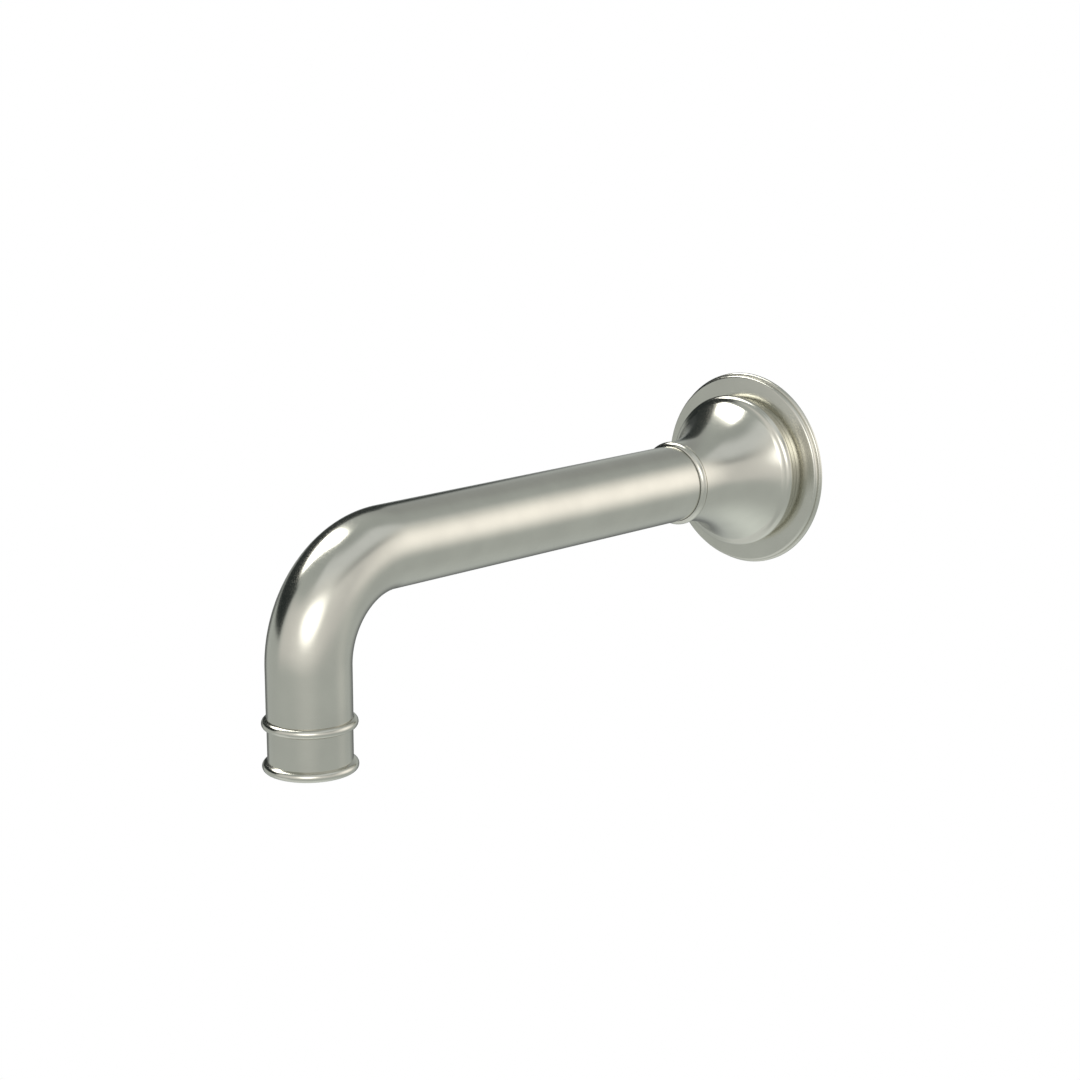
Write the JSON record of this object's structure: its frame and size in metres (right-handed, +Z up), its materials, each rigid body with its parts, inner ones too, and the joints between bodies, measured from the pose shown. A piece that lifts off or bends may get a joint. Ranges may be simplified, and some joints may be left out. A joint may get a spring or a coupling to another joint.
{
  "type": "wall mounted bath spout",
  "caption": "Wall mounted bath spout: round tube bent down to a ringed outlet, with a bell-shaped cover and a stepped round wall plate, satin nickel.",
  "frame": {"origin": "centre of the wall plate on the wall plane, on the tube's centre line", "axes": "-Y out of the wall along the tube, +Z up, +X to the right seen from the front of the spout looking at the wall; the wall is the plane y = 0 and the outlet points along -Z"},
  "size_m": [0.066, 0.2291, 0.0949],
  "materials": {
    "satin_nickel": "satin brushed nickel plating",
    "brass": "turned, unplated",
    "steel": "plain stainless",
    "black_rubber": "matte",
    "grey_foam": "closed-cell foam",
    "red_fibre": "pressed fibre",
    "white_plastic": "moulded",
    "blue_plastic": "moulded"
  },
  "bodies": {
    "spout": {"wall_nipple": "brass", "fibre_washer": "red_fibre", "spigot_o_ring_rear": "black_rubber", "spigot_o_ring_front": "black_rubber", "inlet_socket": "brass", "spout_tube": "satin_nickel", "outlet_ferrule": "satin_nickel"},
    "wall_cover": {"wall_plate": "satin_nickel", "wall_gasket": "grey_foam", "bell_cover": "satin_nickel", "cover_grip_ring": "black_rubber"},
    "lock_screw": {"lock_screw": "steel"},
    "aerator_seal": {"aerator_washer": "black_rubber"},
    "aerator": {"aerator_housing": "satin_nickel", "insert_cage": "white_plastic", "stream_straightener": "white_plastic", "mesh_screen_lower": "steel", "mesh_screen_upper": "steel", "jet_plate": "white_plastic", "flow_regulator": "blue_plastic", "regulator_ring": "black_rubber", "strainer_dome": "steel"}
  },
  "joints": [
    {"name": "cover_slide", "type": "slide", "parent": "spout", "child": "wall_cover", "axis": [0, -1, 0], "range_m": [0, 0.12]},
    {"name": "lock_screw_turn", "type": "hinge", "parent": "spout", "child": "lock_screw", "pos_m": [0, -0.014, -0.0127], "axis": [0, 0, -1], "range_deg": [0, 990]},
    {"name": "aerator_drop", "type": "slide", "parent": "spout", "child": "aerator_seal", "axis": [0, 0, -1], "range_m": [0, 0.006]},
    {"name": "aerator_turn", "type": "hinge", "parent": "aerator_seal", "child": "aerator", "pos_m": [0, -0.2, -0.0612], "axis": [0, 0, -1], "range_deg": [0, 2160]}
  ],
  "couplings": [
    {"joint": "aerator_turn", "follows": "aerator_drop", "rad_per_m": 6283.2}
  ]
}
